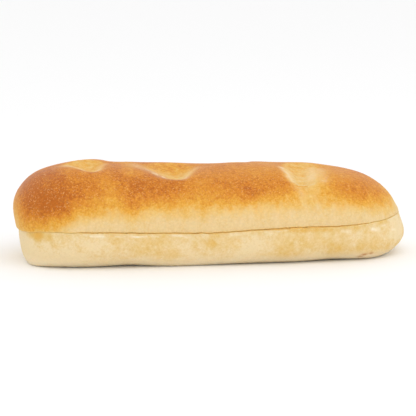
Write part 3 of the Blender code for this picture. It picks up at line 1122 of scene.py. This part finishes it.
def crumb_tree(board, given):
    """Crumbs in clusters on the last millimetre under the cut, each almost half sunk in."""
    place = board.node("GeometryNodeInputPosition")
    near = board.attribute("depth").step(*CRUMB_REACH) * board.attribute("crust")
    clustered = board.noise(place, *CRUMB_CLUSTER).step(*CRUMB_CLUSTERED)
    points = board.node(
        "GeometryNodeDistributePointsOnFaces", {"distribute_method": "RANDOM"},
        {"Mesh": given["Geometry"], "Density": given["Density"] * near * clustered,
         "Seed": given["Seed"]})
    sized = board.node(
        "FunctionNodeRandomValue", {"data_type": "FLOAT"},
        {"Min": CRUMB_LEAST, "Max": 1.0, "Seed": given["Seed"]}) * given["Crumb size"]
    outward = points.of("Normal")
    points = move(board, points, Offset=outward * (sized * -CRUMB_SUNK))
    ball = board.node("GeometryNodeMeshIcoSphere", None,
                      {"Radius": 1.0, "Subdivisions": CRUMB_FINENESS})
    turned = board.node("FunctionNodeRandomValue", {"data_type": "FLOAT_VECTOR"},
                        {"Max": (math.tau, math.tau, math.tau), "Seed": given["Seed"]})
    laid = board.node("GeometryNodeInstanceOnPoints", None,
                      {"Points": points, "Instance": ball, "Rotation": turned,
                       "Scale": board.vector(sized, sized, sized)})
    laid = board.node("GeometryNodeRealizeInstances", None, {"Geometry": laid})
    dented = board.noise(place, *DENTS) * (given["Crumb size"] * CRUMB_DENTS)
    return move(board, laid, Offset=board.node("GeometryNodeInputNormal") * dented)


def new_tree(name, inputs):
    """An empty geometry tree with a mesh input, named inputs and one output."""
    tree = bpy.data.node_groups.new(name, "GeometryNodeTree")
    tree.interface.new_socket("Geometry", in_out="INPUT", socket_type="NodeSocketGeometry")
    for key, kind in inputs.items():
        tree.interface.new_socket(key, in_out="INPUT", socket_type=kind)
    tree.interface.new_socket("Geometry", in_out="OUTPUT", socket_type="NodeSocketGeometry")
    return tree


def add_object(name, data):
    """An object in the scene."""
    made = bpy.data.objects.new(name, data)
    bpy.context.scene.collection.objects.link(made)
    return made


def dress(name, mesh, build, values, material):
    """Run a tree over a mesh and keep the result as a plain mesh object."""
    kinds = {key: "NodeSocketInt" if isinstance(value, int) else "NodeSocketFloat"
             for key, value in values.items()}
    tree = new_tree(name + "_shape", kinds)
    board = Board(tree)
    entry = board.node("NodeGroupInput")
    given = {key: entry.of(key) for key in ["Geometry", *values]}
    shaped = board.node("GeometryNodeRealizeInstances", None, {"Geometry": build(board, given)})
    shaped = board.node("GeometryNodeSetMaterial", None,
                        {"Geometry": shaped, "Material": material})
    board.node("NodeGroupOutput", None, {"Geometry": shaped})
    holder = add_object(name + "_net", mesh)
    modifier = holder.modifiers.new("Shape", "NODES")
    modifier.node_group = tree
    for item in tree.interface.items_tree:
        if item.in_out == "INPUT" and item.name in values:
            modifier[item.identifier] = values[item.name]
    bpy.context.view_layer.update()
    evaluated = holder.evaluated_get(bpy.context.evaluated_depsgraph_get())
    plain = bpy.data.meshes.new_from_object(evaluated)
    bpy.data.objects.remove(holder)
    plain.name = name
    plain.shade_smooth()
    plain.set_sharp_from_angle(angle=CREASE_ANGLE)
    return add_object(name, plain)


def finish_piece(piece, slot, *nodes):
    """Hand a piece to the body that it moves with."""
    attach(piece, "root")
    if nodes:
        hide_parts(*nodes)


def new_material(name):
    """A material with its board, its shader's node and the place on the piece."""
    material = bpy.data.materials.new(name)
    material.use_nodes = True
    tree = material.node_tree
    tree.nodes.clear()
    board = Board(tree)
    shader = board.node("ShaderNodeBsdfPrincipled")
    board.node("ShaderNodeOutputMaterial", None, {"Surface": shader})
    return material, board, shader.socket.node, board.node("ShaderNodeTexCoord").of("Object")


def connect(board, shader, **values):
    """Give the shader's sockets values or links, by their names with low lines for spaces."""
    for name, value in values.items():
        socket = shader.inputs[name.replace("_", " ")]
        if isinstance(value, Wire):
            board.tree.links.new(value.socket, socket)
        else:
            socket.default_value = value


def finish_bread(board, shader, colour, matt, height, soft):
    """Connect what all bread has: colour, matt shine, fine bumps and light under the surface."""
    normal = board.node("ShaderNodeBump", None,
                        {"Strength": 1.0, "Distance": 1.0, "Height": height})
    connect(board, shader, Base_Color=colour, Roughness=matt, Normal=normal,
            Specular_IOR_Level=SHINE, Subsurface_Weight=soft, Subsurface_Radius=SOFT_RADIUS,
            Subsurface_Scale=1.0)


def pore_height(place, stir, crust):
    """Height of the small pores in the crumb of the cut faces."""
    pores = place.board.cells(place + stir * PORE_STIR, PORE_SIZE).step(0.0, PORE_EDGE)
    return pores * PORE_DEPTH * crust.step(PORE_CRUST, 0.0)


def crown_material(colours):
    """Crust that goes from pale at the cut to brown on top."""
    material, board, shader, place = new_material("golden_crust")
    grain = board.noise(place, *GRAIN)
    fine = board.noise(place, *FINE)
    mottle = board.noise(place, *MOTTLE)
    pallor = board.noise(place * PALLOR_STRETCH, *PALLOR)
    brown = board.attribute("brown")
    crust = board.attribute("crust")
    baked = brown.step(*BAKED)
    uneven = weighed(LEVEL_WEIGHTS, grain, fine, mottle)
    level = brown + uneven * (LEVEL_PALE + baked * (1.0 - LEVEL_PALE))
    shades = (colours.pale, colours.yellow, colours.golden, colours.brown, colours.dark)
    colour = board.node("ShaderNodeValToRGB", {"stops": list(zip(BROWN_STOPS, shades))},
                        {"Fac": level})
    milky = weighed(MILKY_WEIGHTS, pallor, fine, grain) + MILKY_MEAN
    milky = milky.at_least(0.0) * brown.step(*MILKY_BROWN) * MILKY
    stirred = place + board.vector(fine, grain, mottle) * SPECK_STIR
    specks = board.cells(stirred, SPECK_SIZE).step(*SPECK_EDGE)
    specks = specks * board.noise(place, *SPECK_CLUSTER).step(*SPECK_CLUSTERED)
    dry = weighed(SPECK_WEIGHTS, baked, brown.step(*SPECK_BROWN)) + SPECK_LEAST
    # Pale lines on the dimples' rims: dry dough, partly a painted highlight
    line = board.attribute("line") * (weighed(LINE_WEIGHTS, mottle, fine) + LINE_MEAN)
    # Golden lip edge and golden cut faces: painted shade along the slit
    edge = board.attribute("height").step(*LIP_SHADE_EDGE) * LIP_SHADE_GOLD * crust
    colour = board.coat(colour, (milky, colours.pale_dough_and_highlight), (specks * dry, colours.speck),
                        (line.at_least(0.0), colours.pale_dough_and_highlight), (edge, colours.golden),
                        (1.0 - crust, colours.slit))
    stirred = place + board.vector(fine, mottle, grain) * PEBBLE_STIR
    pebbles = PEBBLE_MIDDLE - board.cells(stirred, PEBBLE_SIZE)
    shade = CROWN_SHADE + brown.step(*DARK_BROWN) * DARK_SHADE
    colour = colour.scaled(1.0 + weighed(CROWN_SHADES, pebbles, grain, fine) * shade)
    height = weighed(CROWN_BUMPS, grain, fine, specks, mottle) * crust
    height = height + pore_height(place, board.vector(mottle, fine, mottle), crust)
    matt = CROWN_MATT - brown * CROWN_SHEEN + mottle * CROWN_MATT_UNEVEN
    finish_bread(board, shader, colour, matt, height, CROWN_SOFT)
    return material


def base_material(colours):
    """Cream crust with yellow mottles, a floury foot with painted light, and a browned underside.
    """
    material, board, shader, place = new_material("pale_crust")
    grain = board.noise(place, *GRAIN)
    fine = board.noise(place, *FINE)
    cloud = board.noise(place, *BASE_CLOUD)
    small = board.noise(place, *BASE_SPOTTY)
    crust = board.attribute("crust")
    yellow = board.attribute("yellow")
    mottled = weighed(YELLOW_WEIGHTS, cloud, small, fine, grain) + YELLOW_MEAN + yellow
    # Golden where the spots are strongest, painted shade under the crown's lip included
    golden = (yellow - GOLDEN_FROM + weighed(GOLDEN_WEIGHTS, small, fine)).at_least(0.0)
    # Floury foot, partly painted light against the shade near the table
    floury_and_lit = board.attribute("foot") * (weighed(FLOUR_AND_LIGHT_WEIGHTS, small, fine) + FLOUR_AND_LIGHT_MEAN)
    # Torn lip, partly a painted highlight
    torn = board.attribute("torn") * (weighed(TORN_HIGHLIT_WEIGHTS, small, fine) + TORN_HIGHLIT_MEAN)
    scorched = board.attribute("scorched") * (fine * SCORCH_WEIGHT + SCORCH_MEAN)
    baked = board.attribute("sole") * (weighed(SOLE_WEIGHTS, cloud, small, fine) + SOLE_MEAN)
    rim = (baked * SOLE_GOLD).at_most(SOLE_GOLD_MOST).at_least(0.0)
    browned = (baked * SOLE_BROWN - SOLE_BROWN_FROM).at_least(0.0)
    # The cut faces' golden colour paints the shade inside the slit
    colour = board.coat(tuple(colours.cream), (mottled.at_least(0.0), colours.mottle),
                        (golden * GOLDEN, colours.golden), (floury_and_lit, colours.flour_and_painted_light),
                        (torn, colours.flour_and_painted_light), (scorched, colours.sole), (rim, colours.golden),
                        (browned, colours.sole), (1.0 - crust, colours.slit))
    colour = colour.scaled(1.0 - weighed(BASE_SHADES, grain, fine) * BASE_SHADE)
    height = weighed(BASE_BUMPS, grain, fine, small) * crust
    height = height + pore_height(place, board.vector(small, fine, small), crust)
    finish_bread(board, shader, colour, BASE_MATT + small * MATT_UNEVEN, height, PALE_SOFT)
    return material


def crumb_material(colours):
    """Pale dry crumb."""
    material, board, shader, place = new_material("pale_crumb")
    fine = board.noise(place, *CRUMB_FINE)
    yellow = (fine * CRUMB_YELLOW + CRUMB_YELLOW_MEAN).at_least(0.0)
    colour = board.coat(tuple(colours.crumb), (yellow, colours.mottle))
    height = board.noise(place, *CRUMB_GRAIN) * CRUMB_BUMP
    finish_bread(board, shader, colour, CRUMB_MATT + fine * MATT_UNEVEN, height, PALE_SOFT)
    return material


class FOCACCIA_OT_crown(bpy.types.Operator):
    """Make the upper half with its browned, dimpled crust"""

    bl_idname = "focaccia.crown"
    bl_label = "Crown"

    def execute(self, context):
        sizes = context.scene.focaccia_sizes
        material = crown_material(context.scene.focaccia_colours)
        start = net("crown_net", CROWN_SECTION, sizes, sizes.crown_top - sizes.cut_height, -1)
        values = {"Length": sizes.length, "Width": sizes.width, "Top": sizes.crown_top,
                  "Cut height": sizes.cut_height, "Gap": sizes.gap, "Dimples": sizes.dimples,
                  "Relief": sizes.relief, "Blisters": sizes.blister}
        piece = dress("crown_crust", start, crown_tree, values, material)
        finish_piece(piece, "golden_crust", "crown")
        return {"FINISHED"}


class FOCACCIA_OT_base(bpy.types.Operator):
    """Make the lower half with its pale sides and browned underside"""

    bl_idname = "focaccia.base"
    bl_label = "Base"

    def execute(self, context):
        sizes = context.scene.focaccia_sizes
        material = base_material(context.scene.focaccia_colours)
        start = net("base_net", BASE_SECTION, sizes, sizes.cut_height, 1)
        values = {"Length": sizes.length, "Width": sizes.width, "Cut height": sizes.cut_height,
                  "Gap": sizes.gap, "Relief": sizes.relief}
        piece = dress("base_crust", start, base_tree, values, material)
        finish_piece(piece, "pale_crust", "base")
        return {"FINISHED"}


class FOCACCIA_OT_crumbs(bpy.types.Operator):
    """Scatter loose crumbs along the torn lip of the base"""

    bl_idname = "focaccia.crumbs"
    bl_label = "Crumbs"

    def execute(self, context):
        sizes = context.scene.focaccia_sizes
        material = crumb_material(context.scene.focaccia_colours)
        values = {"Density": sizes.crumbs * SQUARE_METRE, "Crumb size": sizes.crumb_size,
                  "Seed": sizes.crumb_order}
        start = bpy.data.objects["base_crust"].data.copy()
        piece = dress("lip_crumbs", start, crumb_tree, values, material)
        finish_piece(piece, "pale_crust")
        return {"FINISHED"}


class FOCACCIA_OT_studio(bpy.types.Operator):
    """Set the table, the light and the camera"""

    bl_idname = "focaccia.studio"
    bl_label = "Studio"

    def execute(self, context):
        studio = context.scene.focaccia_studio
        add_floor(studio)
        add_light(studio)
        add_camera(studio)
        context.scene.view_settings.view_transform = "Standard"
        return {"FINISHED"}


def add_floor(studio):
    """A plain table far wider than the view."""
    mesh = bpy.data.meshes.new("table")
    signs = ((-1, -1), (1, -1), (1, 1), (-1, 1))
    corners = [(x * TABLE_REACH, y * TABLE_REACH, 0.0) for x, y in signs]
    mesh.from_pydata(corners, [], [(0, 1, 2, 3)])
    material, board, shader, place = new_material("table_white")
    matt = TABLE_MATT + board.noise(place, *TABLE_GRAIN) * MATT_UNEVEN
    connect(board, shader, Base_Color=tuple(studio.floor), Roughness=matt)
    mesh.materials.append(material)
    add_object("table", mesh)


def add_light(studio):
    """Even white room light and one large soft lamp."""
    world = bpy.data.worlds.new("room")
    bpy.context.scene.world = world
    world.use_nodes = True
    background = world.node_tree.nodes["Background"]
    background.inputs["Color"].default_value = (1.0, 1.0, 1.0, 1.0)
    background.inputs["Strength"].default_value = studio.room
    lamp = bpy.data.lights.new("soft_lamp", "AREA")
    lamp.shape = "RECTANGLE"
    lamp.size, lamp.size_y = LAMP_SIZE
    lamp.energy = studio.lamp
    holder = add_object("soft_lamp", lamp)
    holder.location = LAMP_AT
    holder.rotation_euler = (-holder.location).to_track_quat("-Z", "Y").to_euler()


def add_camera(studio):
    """The camera in front of the roll, a little above it."""
    flat = math.cos(studio.elevation)
    sine, cosine = math.sin(studio.azimuth), math.cos(studio.azimuth)
    back = Vector((sine * flat, -cosine * flat, math.sin(studio.elevation)))
    right = Vector((cosine, sine, 0.0))
    up = back.cross(right)
    pixel = studio.frame_width / PICTURE_WIDTH
    aim = Vector((-CENTRE_X, 0.0, studio.aim_z))
    aim = aim + up * (PICTURE_DOWN * pixel) - right * (PICTURE_RIGHT * pixel)
    camera = bpy.data.cameras.new("camera")
    camera.lens = camera.sensor_width * studio.distance / studio.frame_width
    holder = add_object("camera", camera)
    turned = Matrix((right, up, back)).transposed().to_4x4()
    turned.translation = aim + back * studio.distance
    holder.matrix_world = turned
    bpy.context.scene.camera = holder


class FOCACCIA_PT_panel(bpy.types.Panel):
    """Sizes, colours and steps of the roll"""

    bl_idname = "FOCACCIA_PT_panel"
    bl_label = "Potato Focaccia Roll"
    bl_space_type = "VIEW_3D"
    bl_region_type = "UI"
    bl_category = "Focaccia"

    def draw(self, context):
        layout = self.layout
        for group in (context.scene.focaccia_sizes, context.scene.focaccia_colours,
                      context.scene.focaccia_studio):
            box = layout.box()
            for name in group.__annotations__:
                box.prop(group, name)
        for operator in STEPS:
            layout.operator(operator.bl_idname)


STEPS = (FOCACCIA_OT_crown, FOCACCIA_OT_base, FOCACCIA_OT_crumbs, FOCACCIA_OT_studio)
GROUPS = {"focaccia_sizes": RollSizes, "focaccia_colours": RollColours,
          "focaccia_studio": StudioSettings}


def register():
    for group in (*GROUPS.values(), *STEPS, FOCACCIA_PT_panel):
        bpy.utils.register_class(group)
    for name, group in GROUPS.items():
        setattr(bpy.types.Scene, name, bpy.props.PointerProperty(type=group))


def unregister():
    for name in GROUPS:
        delattr(bpy.types.Scene, name)
    for group in reversed((*GROUPS.values(), *STEPS, FOCACCIA_PT_panel)):
        bpy.utils.unregister_class(group)


def main():
    register()
    bpy.ops.focaccia.crown()
    bpy.ops.focaccia.base()
    bpy.ops.focaccia.crumbs()
    bpy.ops.focaccia.studio()


if __name__ == "__main__":
    main()
